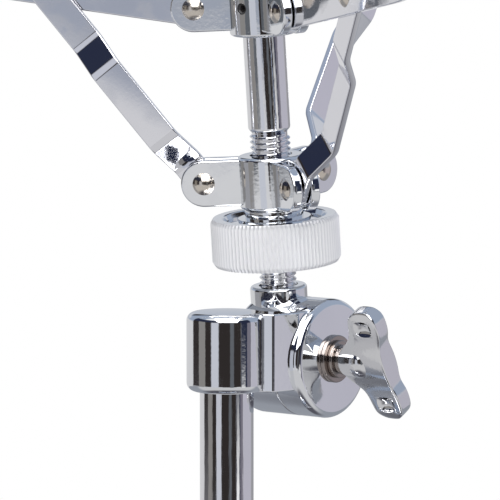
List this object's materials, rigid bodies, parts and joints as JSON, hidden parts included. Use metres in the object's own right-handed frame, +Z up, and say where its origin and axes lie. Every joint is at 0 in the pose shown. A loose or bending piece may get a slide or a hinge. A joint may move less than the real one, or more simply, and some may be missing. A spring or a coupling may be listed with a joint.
{
  "type": "snare drum stand",
  "caption": "Chromed folding tripod stand with a telescoping tube, an offset tilter and a folding basket of bowed arms that grips a snare drum from below.",
  "frame": {"origin": "on the floor, under the axis of the tubes", "axes": "+Z up along the tubes, +X along the tilter screw towards its wing"},
  "size_m": [0.4704, 0.4707, 0.7193],
  "materials": {
    "chrome_tube": "polished chrome",
    "chrome_cast": "polished chrome on castings",
    "chrome_wing": "slightly duller cast chrome",
    "chrome_strip": "polished chrome on flat strip",
    "satin_knurl": "bright satin chrome",
    "nickel": "warm nickel plate",
    "black_steel": "blackened steel",
    "rubber": "matt black rubber",
    "nylon": "black nylon"
  },
  "bodies": {
    "base": {"base_tube": "chrome_tube", "tube_plug": "nylon", "stay_hub": "chrome_cast", "stay_pins": "nickel", "height_clamp": "chrome_cast", "clamp_bolt": "nickel", "clamp_washer": "nickel", "clamp_bushing": "nylon"},
    "clamp_wing": {"clamp_wing_nut": "chrome_wing"},
    "collar": {"leg_collar": "chrome_cast"},
    "collar_wing": {"collar_wing_bolt": "chrome_wing"},
    "memory": {"memory_lock": "chrome_cast", "memory_screw": "nickel"},
    "upper": {"upper_tube": "chrome_tube", "tilter_socket": "chrome_cast", "socket_pin": "black_steel", "wing_washers": "nickel"},
    "wing": {"wing_screw": "chrome_wing"},
    "head": {"tilter_head": "chrome_cast", "tilter_nut": "nickel", "basket_rod": "chrome_tube", "upper_hub": "chrome_cast", "hub_set_screw": "black_steel", "upper_hub_rivets": "nickel"},
    "lower_hub": {"lower_hub": "chrome_cast", "lower_hub_rivets": "nickel"},
    "nut": {"knurled_nut": "satin_knurl"},
    "stay_1": {"stay_1": "chrome_strip"},
    "leg_1": {"leg_1": "chrome_strip", "leg_pins_1": "nickel", "foot_1": "rubber"},
    "arm_1": {"arm_1": "chrome_strip", "grip_1": "rubber", "strut_rivet_1": "nickel"},
    "strut_1": {"strut_1": "chrome_strip"},
    "stay_2": {"stay_2": "chrome_strip"},
    "leg_2": {"leg_2": "chrome_strip", "leg_pins_2": "nickel", "foot_2": "rubber"},
    "arm_2": {"arm_2": "chrome_strip", "grip_2": "rubber", "strut_rivet_2": "nickel"},
    "strut_2": {"strut_2": "chrome_strip"},
    "stay_3": {"stay_3": "chrome_strip"},
    "leg_3": {"leg_3": "chrome_strip", "leg_pins_3": "nickel", "foot_3": "rubber"},
    "arm_3": {"arm_3": "chrome_strip", "grip_3": "rubber", "strut_rivet_3": "nickel"},
    "strut_3": {"strut_3": "chrome_strip"}
  },
  "joints": [
    {"name": "stay_1_fold", "type": "hinge", "parent": "base", "child": "stay_1", "pos_m": [0.02165, 0.0125, 0.044], "axis": [0.5, -0.866, 0], "range_deg": [0, 42]},
    {"name": "leg_1_fold", "type": "hinge", "parent": "stay_1", "child": "leg_1", "pos_m": [0.107, 0.06177, 0.13917], "axis": [0.5, -0.866, 0], "range_deg": [-84, 0]},
    {"name": "collar_fold", "type": "hinge", "parent": "leg_1", "child": "collar", "pos_m": [0.02165, 0.0125, 0.23434], "axis": [0.5, -0.866, 0], "range_deg": [0, 42]},
    {"name": "stay_2_fold", "type": "hinge", "parent": "base", "child": "stay_2", "pos_m": [-0.02165, 0.0125, 0.044], "axis": [0.5, 0.866, 0], "range_deg": [0, 42]},
    {"name": "leg_2_fold", "type": "hinge", "parent": "stay_2", "child": "leg_2", "pos_m": [-0.107, 0.06177, 0.13917], "axis": [0.5, 0.866, 0], "range_deg": [-84, 0]},
    {"name": "stay_3_fold", "type": "hinge", "parent": "base", "child": "stay_3", "pos_m": [0, -0.025, 0.044], "axis": [-1, 0, 0], "range_deg": [0, 42]},
    {"name": "leg_3_fold", "type": "hinge", "parent": "stay_3", "child": "leg_3", "pos_m": [0, -0.12355, 0.13917], "axis": [-1, 0, 0], "range_deg": [-84, 0]},
    {"name": "collar_wing_turn", "type": "hinge", "parent": "collar", "child": "collar_wing", "pos_m": [0, 0.03, 0.23434], "axis": [0, 1, 0], "continuous": true},
    {"name": "clamp_wing_turn", "type": "hinge", "parent": "base", "child": "clamp_wing", "pos_m": [0.025, 0.015, 0.363], "axis": [0, 1, 0], "continuous": true},
    {"name": "swivel", "type": "hinge", "parent": "base", "child": "memory", "pos_m": [0, 0, 0.388], "axis": [0, 0, 1], "continuous": true},
    {"name": "height_slide", "type": "slide", "parent": "memory", "child": "upper", "axis": [0, 0, 1], "range_m": [-0.06, 0.07]},
    {"name": "tilt", "type": "hinge", "parent": "upper", "child": "head", "pos_m": [0, 0.0322, 0.47], "axis": [1, 0, 0], "range_deg": [-70, 9]},
    {"name": "tilt_wing_turn", "type": "hinge", "parent": "upper", "child": "wing", "pos_m": [0.03, 0.0322, 0.47], "axis": [1, 0, 0], "continuous": true},
    {"name": "basket_slide", "type": "slide", "parent": "head", "child": "lower_hub", "axis": [0, -0.0941, 0.9956], "range_m": [-0.005, 0.01]},
    {"name": "nut_turn", "type": "hinge", "parent": "lower_hub", "child": "nut", "pos_m": [0, 0.02834, 0.51082], "axis": [0, -0.0941, 0.9956], "range_deg": [-900, 1800]},
    {"name": "arm_1_swing", "type": "hinge", "parent": "head", "child": "arm_1", "pos_m": [0, 0.04424, 0.5977], "axis": [1, 0, 0], "range_deg": [-6.58, 13.15]},
    {"name": "strut_1_swing", "type": "hinge", "parent": "lower_hub", "child": "strut_1", "pos_m": [0, 0.05014, 0.53528], "axis": [1, 0, 0], "range_deg": [-1.17, 2.34]},
    {"name": "arm_2_swing", "type": "hinge", "parent": "head", "child": "arm_2", "pos_m": [-0.02078, 0.0084, 0.59431], "axis": [-0.5, 0.8622, 0.0815], "range_deg": [-6.58, 13.15]},
    {"name": "strut_2_swing", "type": "hinge", "parent": "lower_hub", "child": "strut_2", "pos_m": [-0.02078, 0.0143, 0.53189], "axis": [-0.5, 0.8622, 0.0815], "range_deg": [-1.17, 2.34]},
    {"name": "arm_3_swing", "type": "hinge", "parent": "head", "child": "arm_3", "pos_m": [0.02078, 0.0084, 0.59431], "axis": [-0.5, -0.8622, -0.0815], "range_deg": [-6.58, 13.15]},
    {"name": "strut_3_swing", "type": "hinge", "parent": "lower_hub", "child": "strut_3", "pos_m": [0.02078, 0.0143, 0.53189], "axis": [-0.5, -0.8622, -0.0815], "range_deg": [-1.17, 2.34]}
  ],
  "couplings": [
    {"joint": "leg_1_fold", "follows": "stay_1_fold", "ratio": -2},
    {"joint": "collar_fold", "follows": "stay_1_fold", "ratio": 1},
    {"joint": "stay_2_fold", "follows": "stay_1_fold", "ratio": 1},
    {"joint": "leg_2_fold", "follows": "stay_1_fold", "ratio": -2},
    {"joint": "stay_3_fold", "follows": "stay_1_fold", "ratio": 1},
    {"joint": "leg_3_fold", "follows": "stay_1_fold", "ratio": -2},
    {"joint": "basket_slide", "follows": "nut_turn", "m_per_rad": 0.00031831},
    {"joint": "arm_1_swing", "follows": "nut_turn", "ratio": 0.0073077},
    {"joint": "strut_1_swing", "follows": "nut_turn", "ratio": 0.0012974},
    {"joint": "arm_2_swing", "follows": "nut_turn", "ratio": 0.0073077},
    {"joint": "strut_2_swing", "follows": "nut_turn", "ratio": 0.0012974},
    {"joint": "arm_3_swing", "follows": "nut_turn", "ratio": 0.0073077},
    {"joint": "strut_3_swing", "follows": "nut_turn", "ratio": 0.0012974}
  ]
}
